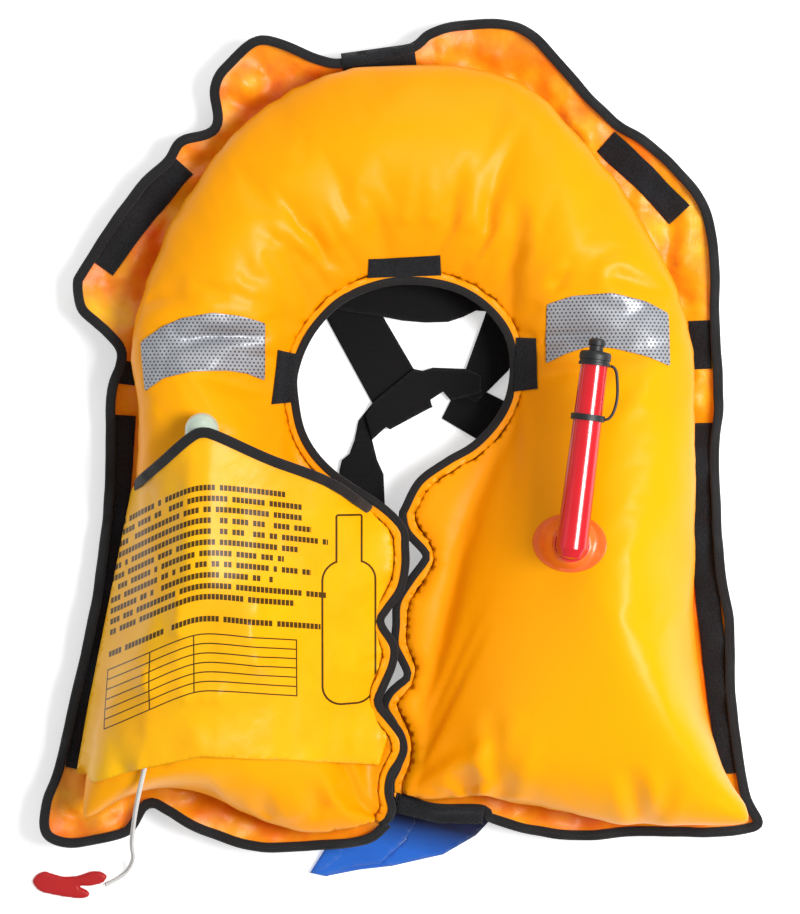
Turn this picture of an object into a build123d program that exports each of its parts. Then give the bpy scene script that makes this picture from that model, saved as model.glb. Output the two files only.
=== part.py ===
from build123d import *
import math
import os

# An inflatable horseshoe life jacket with a gas inflator, lying on its back, in millimetres.
# +X points to the right lobe as seen from the front, +Y to the neck end, +Z out of the front.
# The origin is under the middle of the jacket, on the surface that it lies on.

# ---- outlines: the cover is cut larger than the bladder; both share the neck and the front slit
COVER_EDGE = [
    (-6, -296), (-25, -305), (-76, -312), (-115, -311), (-154, -299), (-181, -285), (-195, -281),
    (-212, -300), (-250, -310), (-271, -306), (-278, -292), (-267, -251), (-255, -200), (-241, -138),
    (-233, -87), (-228, -20), (-224, 40), (-218, 72), (-236, 97), (-249, 112), (-251, 132), (-226, 172),
    (-201, 206), (-170, 240), (-146, 254), (-146, 282), (-135, 301), (-106, 319), (-72, 311), (-42, 300),
    (16, 318), (53, 333), (86, 334), (108, 322), (130, 300), (166, 260), (205, 230), (236, 198),
    (248, 160), (250, 92), (253, 38), (251, -2), (253, -87), (261, -134), (265, -196), (273, -262),
    (278, -296), (240, -302), (158, -303), (104, -299), (64, -280), (1, -276),
]
BLADDER_EDGE = [
    (-7, -292), (-70, -302), (-120, -300), (-170, -285), (-215, -284), (-262, -296),
    (-252, -251), (-246, -196), (-230, -149), (-218, -87), (-208, -10), (-206, 40), (-208, 85),
    (-190, 145), (-165, 195), (-130, 245), (-85, 281), (-41, 296), (2, 300), (57, 298), (100, 283),
    (142, 243), (174, 202), (205, 147), (223, 85), (228, 18), (226, -50), (226, -118),
    (238, -196), (258, -259), (268, -294), (158, -296), (96, -292), (50, -276), (2, -272),
]
NECK_EDGE = [
    (1, -62), (22, -38), (60, -16), (88, 28), (93, 66), (80, 102), (55, 125), (22, 134), (-14, 131),
    (-46, 117), (-69, 90), (-79, 60), (-75, 22), (-52, -22), (-28, -42), (-7, -58),
]

# ---- levels above the surface and how far each level stands inside the outline
COVER_FLOOR = 14.0
COVER_RIM = 31.0
COVER_INSET = 9.5
BLADDER_LEVELS = [
    (17.5, 40.0), (28.0, 24.0), (42.0, 11.0), (82.0, 18.0), (98.0, 28.0), (112.0, 42.0), (122.0, 0.0),
]
COVER_THICK = 1.6
BINDING_WIDTH = 9.0
BINDING_LEVEL = 29.0
BINDING_THICK = 4.0
VELCRO_LEVEL = 33.2
VELCRO_THICK = 1.8
NECK_TAB_LEVEL = 36.0
GAP = 0.4

# ---- inflator, set in a dent of the left lobe
INFLATOR_X = -146.0
DENT_FLOOR = 100.0
DENT_BOX = (-192.0, -216.0, -100.0, 36.0)
CORD_GROOVE = (-212.0, -330.0, -174.0, -210.0)
CYLINDER_RADIUS = 12.8
CYLINDER_TOP = 26.5
CYLINDER_NECK_RADIUS = 5.9
AXIS_LEVEL = 114.3
BODY_Y = (-160.0, -114.0)
BODY_X = (-162.0, -106.0)
BODY_Z = (103.4, 125.0)
STEM_X = -120.0
STEM_Y = -138.0
STEM_RADIUS = 7.0
PIVOT_Y = -174.0
LEVER_LENGTH = 36.0
PIN_RADIUS = 2.0

# ---- mouth tube on the right lobe
TUBE_BASE = (129.0, -71.0)
TUBE_LEVEL = 137.0
TUBE_LEAN = 7.1
TUBE_LENGTH = 140.0
TUBE_BASE_RADIUS = 12.0
TUBE_TOP_RADIUS = 10.0
TUBE_BORE = 7.6

# ---- webbing
WEB_WIDTH = 38.0
WEB_THICK = 2.0
SECOND_LAYER = 2.2
TOP_LAYER = (4.5, 6.0)
WAIST_Y = -262.0
BELT_LEVEL = 2.4
BUCKLE_X = 90.0
BUCKLE_HEIGHT = 12.0
BUCKLE_WIDTH = 50.0
SOCKET_LENGTH = 38.0

# ---- pull cord: from the sleeve at the lever, over the lobe's end and down to the surface
CORD_RADIUS = 1.75
CORD_ROUTE = [
    (-182, -196, 112), (-184, -214, 113), (-188, -235, 112), (-193, -255, 108), (-197, -272, 101),
    (-200, -287, 89), (-203, -299, 72), (-205, -308, 52), (-206, -316, 32), (-208, -323, 14),
    (-212, -332, 3.8), (-220, -340, 1.9), (-231, -345, 1.9),
]

os.makedirs("parts", exist_ok=True)
NODES = {}


def add(name, shape):
    NODES[name] = shape
    export_step(shape, f"parts/{name}.step")


def inset(points, distance):
    """The face inside the closed outline moved inwards by distance."""
    face = make_face(Polyline(*points, close=True))
    return offset(face, amount=-distance, kind=Kind.INTERSECTION) if distance else face


def plate(points, low, high):
    face = make_face(Polyline(*[(x, y) for x, y in points], close=True))
    return Pos(0, 0, low) * extrude(face, high - low, dir=(0, 0, 1))


def box(x0, y0, z0, x1, y1, z1):
    return Pos((x0 + x1) / 2, (y0 + y1) / 2, (z0 + z1) / 2) * Box(x1 - x0, y1 - y0, z1 - z0)


def terraced(points, levels):
    """One closed solid in steps: each level runs up to the next one's height at its own inset."""
    steps = [Pos(0, 0, low) * extrude(inset(points, distance), high - low, dir=(0, 0, 1))
             for (low, distance), (high, _) in zip(levels, levels[1:])]
    joined = steps[0]
    for step in steps[1:]:
        joined = joined + step
    return joined


def strap(centre_line, width, low, thick):
    """Flat webbing laid along a centre line of points."""
    left, right = [], []
    for i, here in enumerate(centre_line):
        before = centre_line[max(0, i - 1)]
        after = centre_line[min(len(centre_line) - 1, i + 1)]
        along = Vector(after[0] - before[0], after[1] - before[1]).normalized()
        left.append((here[0] - along.Y * width / 2, here[1] + along.X * width / 2))
        right.append((here[0] + along.Y * width / 2, here[1] - along.X * width / 2))
    return plate(left + right[::-1], low, low + thick)


def coil(radius, wire, pitch, turns):
    """A helical spring of round wire along +Z."""
    path = Helix(pitch=pitch, height=pitch * turns, radius=radius)
    section = Plane(origin=path @ 0, z_dir=path % 0) * Circle(wire / 2)
    return sweep(section, path=path, is_frenet=True)


# ---------------------------------------------------------------- cover and bladder
COVER = COVER_EDGE + NECK_EDGE
BLADDER = BLADDER_EDGE + NECK_EDGE


def make_cover():
    tray = terraced(COVER, [(COVER_FLOOR, COVER_INSET), (COVER_RIM, 0)])
    hollow = terraced(COVER, [(COVER_FLOOR + COVER_THICK, COVER_INSET + COVER_THICK), (COVER_RIM + 1, 0)])
    return tray - hollow


def make_bladder():
    body = terraced(BLADDER, BLADDER_LEVELS)
    x0, y0, x1, y1 = DENT_BOX
    body -= box(x0, y0, DENT_FLOOR, x1, y1, BLADDER_LEVELS[-1][0] + 5)
    x0, y0, x1, y1 = CORD_GROOVE
    return body - box(x0, y0, DENT_FLOOR, x1, y1, BLADDER_LEVELS[-1][0] + 5)


INNER_ZONE = box(-30, -262, 0, 30, -40, 60) + box(-96, -62, 0, 108, 150, 60)


def make_bindings():
    ring = plate(COVER, BINDING_LEVEL, BINDING_LEVEL + BINDING_THICK)
    ring -= Pos(0, 0, BINDING_LEVEL) * extrude(inset(COVER, BINDING_WIDTH), BINDING_THICK, dir=(0, 0, 1))
    add("neck_edge_binding", ring & INNER_ZONE)
    add("outer_edge_binding", ring - INNER_ZONE)


VELCRO = {
    "velcro_upper_left": ([(-168, 222), (-200, 186), (-232, 142)], 22),
    "velcro_upper_right": ([(163, 240), (193, 213), (221, 183)], 20),
    "velcro_long_left": ([(-213, 26), (-217, -40), (-222, -96), (-238, -170), (-252, -250)], 15),
    "velcro_long_right": ([(237, 20), (238, -60), (243, -120), (251, -190), (260, -255)], 18),
    "velcro_tab_top": ([(-28, 285), (8, 297)], 20),
    "velcro_tab_left": ([(-212, 50), (-210, 68)], 13),
    "velcro_tab_right": ([(237, 62), (236, 100)], 16),
    "velcro_hem_right": ([(2, -271), (32, -279), (66, -279)], 12),
}
NECK_TABS = {
    "neck_tab_top": (-22, 136, 34, 152),
    "neck_tab_left": (-97, 34, -84, 74),
    "neck_tab_right": (98, 44, 109, 86),
}


def make_velcro():
    for name, (line, width) in VELCRO.items():
        add(name, strap(line, width, VELCRO_LEVEL + GAP, VELCRO_THICK))
    for name, (x0, y0, x1, y1) in NECK_TABS.items():
        add(name, box(x0, y0, NECK_TAB_LEVEL, x1, y1, NECK_TAB_LEVEL + VELCRO_THICK))


def roof(section, y0, y1, thick):
    """A folded sheet: the section (x, z) of its upper face, drawn out from y0 to y1."""
    points = section + [(x, z - thick) for x, z in section[::-1]]
    face = Plane.XZ * make_face(Polyline(*points, close=True))
    return Pos(0, y1, 0) * extrude(face, y1 - y0, dir=(0, -1, 0))


def make_reflective_tapes():
    thick = 1.0
    left = [(-210, 74), (-199, 85), (-191, 101.5), (-181, 115), (-167, 125), (-98, 125)]
    right = [(112, 125), (184, 125), (198, 115), (208, 101.5), (218, 82)]
    left_shape = plate([(-203, 80), (-101, 97), (-102, 50), (-197, 45)], 0, 200)
    right_shape = plate([(114, 112), (209, 108), (211, 65), (114, 66)], 0, 200)
    add("reflective_tape_left", roof(left, 40, 110, thick) & left_shape)
    add("reflective_tape_right", roof(right, 60, 125, thick) & right_shape)


# ---------------------------------------------------------------- mouth inflation
def make_mouth_tube():
    along = Pos(TUBE_BASE[0], TUBE_BASE[1], TUBE_LEVEL) * Rot(0, 0, -TUBE_LEAN) * Rot(-90, 0, 0)
    top = BLADDER_LEVELS[-1][0]
    patch_thick = 1.2
    patch = Pos(TUBE_BASE[0], TUBE_BASE[1], top + GAP) * extrude(Ellipse(27, 22), patch_thick)
    add("oral_tube_patch", patch)

    boss_low = top + GAP + patch_thick
    boss = Pos(TUBE_BASE[0], TUBE_BASE[1], boss_low) * extrude(Circle(14), TUBE_LEVEL - boss_low, taper=4)
    profile = [(0, -TUBE_BASE_RADIUS), (9, -9.6), (TUBE_BASE_RADIUS, -3), (TUBE_TOP_RADIUS, TUBE_LENGTH),
               (TUBE_BORE, TUBE_LENGTH), (TUBE_BORE, 4), (0, 4)]
    tube = along * revolve(Plane.XZ * make_face(Polyline(*profile, close=True)), Axis.Z)
    keep_bore = along * Pos(0, 0, TUBE_LENGTH / 2 + 2) * Cylinder(TUBE_BORE, TUBE_LENGTH - 4)
    add("oral_tube", tube + (boss - keep_bore))

    seat_low, seat_high, seat_hole = 124.0, 128.0, 3.2
    seat = Cylinder(TUBE_BORE - 0.1, seat_high - seat_low) - Cylinder(seat_hole, seat_high - seat_low)
    add("oral_valve_seat", along * Pos(0, 0, (seat_low + seat_high) / 2) * seat)

    stem_radius, head_radius, button_radius = 2.0, 5.6, 5.0
    poppet = [(0, 108), (stem_radius, 108), (stem_radius, 119.4), (head_radius, 119.4), (head_radius, 123.4),
              (stem_radius, 123.4), (stem_radius, 134), (button_radius, 134), (button_radius, 138), (0, 138)]
    add("oral_valve_poppet", along * revolve(Plane.XZ * make_face(Polyline(*poppet, close=True)), Axis.Z))
    spring_radius, spring_wire, spring_low = 4.0, 0.8, 110.5
    spring = coil(spring_radius, spring_wire, 1.6, 5)
    add("oral_valve_spring", along * Pos(0, 0, spring_low) * spring)

    cap_bore = TUBE_TOP_RADIUS + 0.35
    cap = [(cap_bore, 133), (11.8, 133), (11.8, 135), (11.1, 135.4), (11.1, 137), (11.8, 137.4), (11.8, 141),
           (11, 143), (5.2, 144), (5.2, 147.5), (6.2, 148), (6.2, 151.5), (4.5, 153), (0, 153), (0, 141.5),
           (cap_bore, 141.5)]
    add("dust_cap", along * revolve(Plane.XZ * make_face(Polyline(*cap, close=True)), Axis.Z))

    ring_low, ring_high = 92.0, 96.5
    ring_middle = (ring_low + ring_high) / 2
    taper = (TUBE_TOP_RADIUS - TUBE_BASE_RADIUS) / (TUBE_LENGTH + 3)
    radius_there = TUBE_BASE_RADIUS + taper * (ring_low + 3)
    ring_bore = radius_there + 0.1
    ring_band = Cylinder(ring_bore + 1.8, ring_high - ring_low) - Cylinder(ring_bore, ring_high - ring_low)
    add("tether_clip_ring", along * Pos(0, 0, ring_middle) * ring_band)

    tether = Polyline((13.9, 94), (18, 99), (19.5, 112), (18.5, 124), (16.5, 131), (13.2, 134))
    band = Plane.XZ * make_face(offset(tether, 1.1, side=Side.BOTH))
    add("cap_tether", along * Pos(0, 1.5, 0) * extrude(band, 3.0, dir=(0, -1, 0)))


# ---------------------------------------------------------------- gas inflation
def make_gas_inflator():
    stem_low = DENT_FLOOR + GAP
    patch_high = stem_low + 1.4
    at_stem = Pos(STEM_X, STEM_Y, 0)
    add("manifold_patch", at_stem * Pos(0, 0, stem_low) * (
        extrude(Circle(19), 1.4) - extrude(Circle(STEM_RADIUS + 0.1), 1.4)))
    add("manifold_stem", at_stem * Pos(0, 0, stem_low) * extrude(Circle(STEM_RADIUS), 31.0 - 0.4))
    gasket_high = BODY_Z[0] - 0.1
    add("manifold_gasket", at_stem * Pos(0, 0, patch_high + 0.1) * (
        extrude(Circle(11), gasket_high - patch_high - 0.1) - extrude(Circle(STEM_RADIUS + 0.1), 5)))
    nut = extrude(RegularPolygon(10.5, 6), 5) - extrude(Circle(STEM_RADIUS + 0.1), 5)
    add("inflator_nut", at_stem * Pos(0, 0, BODY_Z[1] + 0.1) * nut)

    body = fillet(box(BODY_X[0], BODY_Y[0], BODY_Z[0], BODY_X[1], BODY_Y[1], BODY_Z[1]).edges(), 2.5)
    ears = box(INFLATOR_X - 12, -183, BODY_Z[0] + 1, INFLATOR_X + 12, BODY_Y[0] + 3, BODY_Z[1] - 1)
    lever_slot = box(INFLATOR_X - 28, -190, 109.7, INFLATOR_X + 22, BODY_Y[0] + 0.001, 118.9)
    along = Pos(INFLATOR_X, 0, AXIS_LEVEL) * Rot(90, 0, 0)
    neck_bore = along * Pos(0, 0, 120) * Cylinder(CYLINDER_NECK_RADIUS + 0.15, 13)
    spring_bore = along * Pos(0, 0, 137) * Cylinder(4.3, 18)
    pin_bore = along * Pos(0, 0, 145) * Cylinder(PIN_RADIUS + 0.2, 40)
    stem_bore = at_stem * Pos(0, 0, BODY_Z[0]) * Cylinder(STEM_RADIUS + 0.15, 60)
    pivot_bore = Pos(INFLATOR_X, PIVOT_Y, AXIS_LEVEL) * Cylinder(PIN_RADIUS + 0.05, 40)
    body = body + ears - lever_slot - neck_bore - spring_bore - pin_bore - stem_bore - pivot_bore
    add("inflator_body", body)

    pin = [(0, 129.2), (PIN_RADIUS, 134), (PIN_RADIUS, 144), (3.9, 144), (3.9, 145.6), (PIN_RADIUS, 145.6),
           (PIN_RADIUS, 166.6), (0, 166.6)]
    add("piercing_pin", along * revolve(Plane.XZ * make_face(Polyline(*pin, close=True)), Axis.Z))
    add("pin_spring", along * Pos(0, 0, 129.2) * coil(3.2, 0.7, 2.6, 5.2))
    add("lever_pivot_pin", Pos(INFLATOR_X, PIVOT_Y, AXIS_LEVEL) * Cylinder(PIN_RADIUS, 19))

    hub_radius, lobe_radius, lobe_reach, lobe_angle = 6.0, 3.5, 8.0, math.radians(15)
    lobe = Pos(lobe_reach * math.cos(lobe_angle), lobe_reach * math.sin(lobe_angle)) * Circle(lobe_radius)
    arm = Pos(-LEVER_LENGTH / 2, 0) * Rectangle(LEVER_LENGTH, 7)
    tip = Pos(-LEVER_LENGTH, 0) * Circle(5.2)
    cord_hole = Pos(-LEVER_LENGTH, 0) * Circle(2.4)
    outline = Circle(hub_radius) + lobe + arm + tip - Circle(PIN_RADIUS + 0.1) - cord_hole
    lever = extrude(outline, 8.0)
    add("firing_lever", Pos(INFLATOR_X, PIVOT_Y, 110.3) * lever)
    add("status_clip", box(BODY_X[0] + 1, -136, BODY_Z[1] + 0.1, BODY_X[0] + 12, -122, BODY_Z[1] + 2.4))

    dome_middle = CYLINDER_RADIUS - CYLINDER_TOP
    bottle = Polyline((0, dome_middle), (0, 106), (2.3, 106), (2.3, 125.5), (CYLINDER_NECK_RADIUS, 125.5),
                      (CYLINDER_NECK_RADIUS, 111.5), (8.0, 108), (CYLINDER_RADIUS, 98),
                      (CYLINDER_RADIUS, dome_middle), close=True)
    wall = revolve(Plane.XZ * make_face(bottle), Axis.Z)
    add("co2_cylinder", along * (wall + Pos(0, 0, dome_middle) * Sphere(CYLINDER_RADIUS)))


FLAP_SECTION = [(-262, 62), (-248, 88), (-238, 106), (-225, 119), (-209, 126.5), (-185, 131), (-146, 135),
                (-105, 135), (-60, 128), (-47, 125), (-33, 115.5), (-23, 101.5), (-15, 86), (-9, 76)]
FLAP_EDGE = [(-9, -54), (-50, -24), (-95, -6), (-145, 13), (-175, -8), (-206, -30), (-221, -105),
             (-236, -195), (-243, -250), (-230, -252), (-193, -240), (-146, -230), (-78, -236), (-14, -246)]
FLAP_THICK = 0.9


def make_flap():
    sheet = roof(FLAP_SECTION, -270, 20, FLAP_THICK)
    add("inflator_flap", sheet & plate(FLAP_EDGE, 0, 200))
    band_section = [(x, z + 1.9) for x, z in FLAP_SECTION]
    top_edge = FLAP_EDGE[:6]
    band = plate(top_edge + [(x, y - 8) for x, y in top_edge[::-1]], 0, 200)
    add("flap_top_binding", roof(band_section, -270, 20, 1.2) & band)


def make_pull_cord():
    runs = [Vector(*b) - Vector(*a) for a, b in zip(CORD_ROUTE, CORD_ROUTE[1:])]
    radii = []
    for first, second in zip(runs, runs[1:]):
        half_turn = math.radians(first.get_angle(second)) / 2
        radii.append(0.45 * min(first.length, second.length) / math.tan(half_turn))
    path = FilletPolyline(*CORD_ROUTE, radius=radii)
    section = Plane(origin=path @ 0, z_dir=path % 0) * Circle(CORD_RADIUS)
    tube = sweep(section, path=path)
    print("cord radii", [round(r, 1) for r in radii], "runs", [round(r.length, 1) for r in runs])
    print("cord length", round(path.length, 1), "volume over section x length",
          round(tube.volume / (math.pi * CORD_RADIUS ** 2 * path.length), 4))
    add("pull_cord", tube)

    start = Vector(*CORD_ROUTE[0])
    sleeve_length, sleeve_radius = 6.0, 3.2
    back = runs[0].normalized() * -sleeve_length
    sleeve = Plane(origin=start + back, z_dir=runs[0]) * extrude(Circle(sleeve_radius), sleeve_length)
    add("cord_sleeve", sleeve)

    thick = 3.2
    clearance = 0.3
    head = Pos(-281, -343) * Ellipse(10, 8.5)
    upper = plate_face([(-281, -335), (-255, -334), (-232, -341), (-231.5, -349), (-245, -348), (-281, -351)])
    lower = plate_face([(-273, -349), (-255, -343), (-241, -348), (-243, -358), (-252, -361), (-263, -352)])
    slot = Pos(-252, -342) * Rot(0, 0, -12) * Rectangle(14, 1.6)
    handle = extrude(head + upper + lower - slot, thick)
    add("pull_handle", Pos(0, 0, clearance) * handle)


def plate_face(points):
    return make_face(Polyline(*points, close=True))


# ---------------------------------------------------------------- harness
def make_harness():
    add("shoulder_strap_left", strap([(-92, 210), (-58, 150), (-32, 100), (4, 36)], WEB_WIDTH, 0, WEB_THICK))
    add("shoulder_strap_right", strap([(120, 210), (100, 130), (84, 92), (66, 44)], WEB_WIDTH, SECOND_LAYER,
                                       WEB_THICK))
    add("side_strap_right", strap([(34, 28), (80, 6), (120, -20), (150, -70)], 30, 0, WEB_THICK))
    add("back_strap", strap([(-14, 16), (-22, -6), (-26, -40), (-34, -110), (-38, -230)], 26, 0, WEB_THICK))
    add("strap_keeper", plate([(13, 63), (52, 63), (72, 38), (48, 22), (20, 34), (-8, 16), (-21, 35)],
                              *TOP_LAYER))
    add("back_yoke", plate([(-60, 190), (-56, 97), (-10, 103), (29, 98), (61, 107), (80, 190)], *TOP_LAYER))


def make_belt():
    half = WEB_WIDTH / 2
    top = BELT_LEVEL + WEB_THICK
    socket_end = BUCKLE_X + SOCKET_LENGTH
    loop_width, loop_height, right_belt_end = 25, 7, 222
    add("waist_belt_left", box(-215, WAIST_Y - half, BELT_LEVEL, BUCKLE_X + 4, WAIST_Y + half, top))
    plug_web = socket_end + 9
    add("waist_belt_right", box(plug_web, WAIST_Y - half, BELT_LEVEL, right_belt_end, WAIST_Y + half, top))
    for name, x in {"belt_loop_left": -180, "belt_loop_right": 195}.items():
        outer = box(x, WAIST_Y - half - 3, 0, x + loop_width, WAIST_Y + half + 3, loop_height)
        inner = box(x - 1, WAIST_Y - half - 1, 1.6, x + loop_width + 1, WAIST_Y + half + 1, loop_height - 1.6)
        add(name, outer - inner)
    frame = fillet(box(-98, WAIST_Y - 25, 0, -74, WAIST_Y + 25, 8).edges().filter_by(Axis.Z), 4)
    windows = box(-110, WAIST_Y - half - 0.8, BELT_LEVEL - 0.6, -60, WAIST_Y + half + 0.8, top + 0.6)
    add("belt_adjuster", frame - windows)

    half_width = BUCKLE_WIDTH / 2
    socket = box(BUCKLE_X, WAIST_Y - half_width, 0, socket_end, WAIST_Y + half_width, BUCKLE_HEIGHT)
    socket = fillet(socket.edges().filter_by(Axis.Z), 5)
    slot_low, slot_high = (WAIST_Y - half - 0.5, BELT_LEVEL - 0.5), (WAIST_Y + half + 0.5, top + 0.5)
    socket -= box(BUCKLE_X - 1, *slot_low, BUCKLE_X + 5, *slot_high)
    socket -= box(BUCKLE_X + 8, WAIST_Y - 20, 3, socket_end + 1, WAIST_Y + 20, 9)
    for side in (-1, 1):
        y = WAIST_Y + side * half_width
        socket -= box(BUCKLE_X + 13, y - 6, 3, BUCKLE_X + 27, y + 6, 9)
    add("buckle_socket", socket)

    plug = box(socket_end + 0.5, WAIST_Y - half_width, 0,
               socket_end + 16, WAIST_Y + half_width, BUCKLE_HEIGHT)
    plug = fillet(plug.edges().filter_by(Axis.Z), 3)
    web_slot = box(plug_web - 0.5, *slot_low, socket_end + 30, *slot_high)
    plug += box(BUCKLE_X + 12, WAIST_Y - 3, 3.5, socket_end + 2, WAIST_Y + 3, 8.5)
    for side in (-1, 1):
        y = WAIST_Y + side * 15.5
        plug += box(BUCKLE_X + 14, y - 3, 3.5, socket_end + 2, y + 3, 8.5)
        y = WAIST_Y + side * 17.5
        plug += box(BUCKLE_X + 14, y - 2, 3.5, BUCKLE_X + 26, y + 2, 8.5)
    add("buckle_plug", plug - web_slot)

    under = [(-68, -331), (-55, -334), (-30, -329), (-4, -326), (35, -317), (61, -302), (74, -288),
             (64, -272), (30, -272), (20, -290), (7, -304), (-15, -318), (-49, -301)]
    over = [(-66, -330), (-49, -299), (-30, -290), (0, -287), (18, -292), (7, -304), (-15, -322), (-40, -329)]
    tail = plate(under, 0, WEB_THICK) + plate(over, WEB_THICK, 2 * WEB_THICK - 0.1)
    add("belt_tail", tail)


add("cover_shell", make_cover())
add("air_bladder", make_bladder())
make_bindings()
make_velcro()
make_reflective_tapes()
make_mouth_tube()
make_gas_inflator()
make_flap()
make_pull_cord()
make_harness()
make_belt()
print(len(NODES), "nodes")
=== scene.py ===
import math
import random

import bpy
import numpy as np
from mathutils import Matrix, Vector, noise
from mathutils.bvhtree import BVHTree
from mathutils.geometry import delaunay_2d_cdt


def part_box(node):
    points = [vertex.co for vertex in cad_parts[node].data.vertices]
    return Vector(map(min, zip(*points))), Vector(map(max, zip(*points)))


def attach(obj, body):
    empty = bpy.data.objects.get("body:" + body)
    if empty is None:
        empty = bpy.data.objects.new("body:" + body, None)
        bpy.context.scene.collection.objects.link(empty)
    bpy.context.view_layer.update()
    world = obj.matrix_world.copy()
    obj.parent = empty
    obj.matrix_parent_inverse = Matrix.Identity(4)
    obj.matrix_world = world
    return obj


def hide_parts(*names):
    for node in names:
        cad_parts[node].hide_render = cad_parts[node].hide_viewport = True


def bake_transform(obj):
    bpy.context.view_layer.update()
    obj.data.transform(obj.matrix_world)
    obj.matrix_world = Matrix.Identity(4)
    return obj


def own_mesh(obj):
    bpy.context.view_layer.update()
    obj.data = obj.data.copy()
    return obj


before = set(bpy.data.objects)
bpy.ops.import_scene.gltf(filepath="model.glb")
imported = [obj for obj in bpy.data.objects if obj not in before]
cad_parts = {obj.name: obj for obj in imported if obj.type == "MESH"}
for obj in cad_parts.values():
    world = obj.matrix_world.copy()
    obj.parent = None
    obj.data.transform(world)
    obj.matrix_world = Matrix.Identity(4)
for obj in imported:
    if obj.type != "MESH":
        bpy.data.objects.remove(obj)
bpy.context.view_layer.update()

# ---- The bench: a pale floor under a large soft lamp high on the right, with a weaker lamp beyond
# the neck end and a weak one on the left. The camera hangs straight above the jacket's middle.
MM = 0.001
EDGE_LEVEL = 30 * MM
middle_x, middle_y = 2 * MM, -6.6 * MM
view_height = 713 * MM
camera_height = 2.0
sky_strength, floor_glow, floor_half = 0.44, 0.42, 4
camera = bpy.data.objects.new("camera", bpy.data.cameras.new("camera"))
camera.location = (middle_x, middle_y, EDGE_LEVEL + camera_height)
camera.data.sensor_fit = "VERTICAL"
camera.data.angle = 2 * math.atan(view_height / 2 / camera_height)
bpy.context.scene.collection.objects.link(camera)
bpy.context.scene.camera = camera


def lamp(name, place, size, watts):
    """A square lamp that shines at the middle of the bench."""
    light = bpy.data.objects.new(name, bpy.data.lights.new(name, "AREA"))
    light.location = place
    light.rotation_euler = (-Vector(place)).to_track_quat("-Z", "Y").to_euler()
    light.data.size = size
    light.data.energy = watts
    bpy.context.scene.collection.objects.link(light)


lamp("key_lamp", (0.85, 0.0, 1.5), 0.6, 28)
lamp("head_lamp", (0.35, 1.5, 1.2), 0.9, 4)
lamp("side_lamp", (-1.6, -0.4, 1.1), 1.2, 2)
world = bpy.data.worlds.new("studio")
world.use_nodes = True
world.node_tree.nodes["Background"].inputs["Color"].default_value = (1, 1, 1, 1)
world.node_tree.nodes["Background"].inputs["Strength"].default_value = sky_strength
bpy.context.scene.world = world
bpy.context.scene.view_settings.view_transform = "Standard"


class Wire:
    """A shader value. Sums and products written on it add their own Math nodes."""

    def __init__(self, tree, socket):
        self.tree = tree
        self.socket = socket

    def maths(self, operation, *values):
        node = self.tree.nodes.new("ShaderNodeMath")
        node.operation = operation
        for place, value in zip(node.inputs, values):
            connect(self.tree, place, value)
        return Wire(self.tree, node.outputs[0])

    def __add__(self, other): return self.maths("ADD", self, other)
    def __radd__(self, other): return self.maths("ADD", other, self)
    def __sub__(self, other): return self.maths("SUBTRACT", self, other)
    def __rsub__(self, other): return self.maths("SUBTRACT", other, self)
    def __mul__(self, other): return self.maths("MULTIPLY", self, other)
    def __rmul__(self, other): return self.maths("MULTIPLY", other, self)
    def __truediv__(self, other): return self.maths("DIVIDE", self, other)
    def __pow__(self, other): return self.maths("POWER", self, other)
    def __lt__(self, other): return self.maths("LESS_THAN", self, other)
    def __gt__(self, other): return self.maths("GREATER_THAN", self, other)
    def __mod__(self, other): return self.maths("FLOORED_MODULO", self, other)
    def __abs__(self): return self.maths("ABSOLUTE", self)
    def sine(self): return self.maths("SINE", self)
    def whole(self): return self.maths("FLOOR", self)
    def least(self, other): return self.maths("MINIMUM", self, other)
    def most(self, other): return self.maths("MAXIMUM", self, other)


def connect(tree, place, value):
    if isinstance(value, Wire):
        tree.links.new(value.socket, place)
    else:
        place.default_value = value


class Finish:
    """One material: what is even all over is set on the shader, the rest is wired to it."""

    def __init__(self, name, **even):
        self.material = bpy.data.materials.new(name)
        self.material.use_nodes = True
        self.tree = self.material.node_tree
        self.shader = self.tree.nodes["Principled BSDF"]
        for socket, value in even.items():
            self.shader.inputs[socket.replace("_", " ")].default_value = value

    def node(self, kind, settings=None, output=0, inputs=None):
        node = self.tree.nodes.new("ShaderNode" + kind)
        for key, value in (settings or {}).items():
            setattr(node, key, value)
        for key, value in (inputs or {}).items():
            connect(self.tree, node.inputs[key], value)
        return Wire(self.tree, node.outputs[output])

    def place(self):
        return self.node("TexCoord", output="Object")

    def value(self, attribute):
        return self.node("Attribute", {"attribute_name": attribute}, output="Fac")

    def parts(self):
        """The x, y and z of a place on the piece."""
        place = self.place()
        return [self.node("SeparateXYZ", output=k, inputs={0: place}) for k in range(3)]

    def rise(self, value, low, high):
        """From 0 at low to 1 at high."""
        return self.node("MapRange", inputs={0: value, 1: low, 2: high})

    def noise(self, scale, detail=3.0, roughness=0.5):
        return self.node("TexNoise", inputs={"Scale": scale, "Detail": detail, "Roughness": roughness,
                                             "Vector": self.place()})

    def blend(self, factor, first, second):
        return self.node("Mix", {"data_type": "RGBA"}, output=2, inputs={0: factor, 6: first, 7: second})

    def bump(self, height, distance, strength=1.0):
        normal = self.node("Bump", inputs={"Strength": strength, "Distance": distance, "Height": height})
        self.feed("Normal", normal)

    def feed(self, socket, value):
        connect(self.tree, self.shader.inputs[socket], value)


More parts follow.
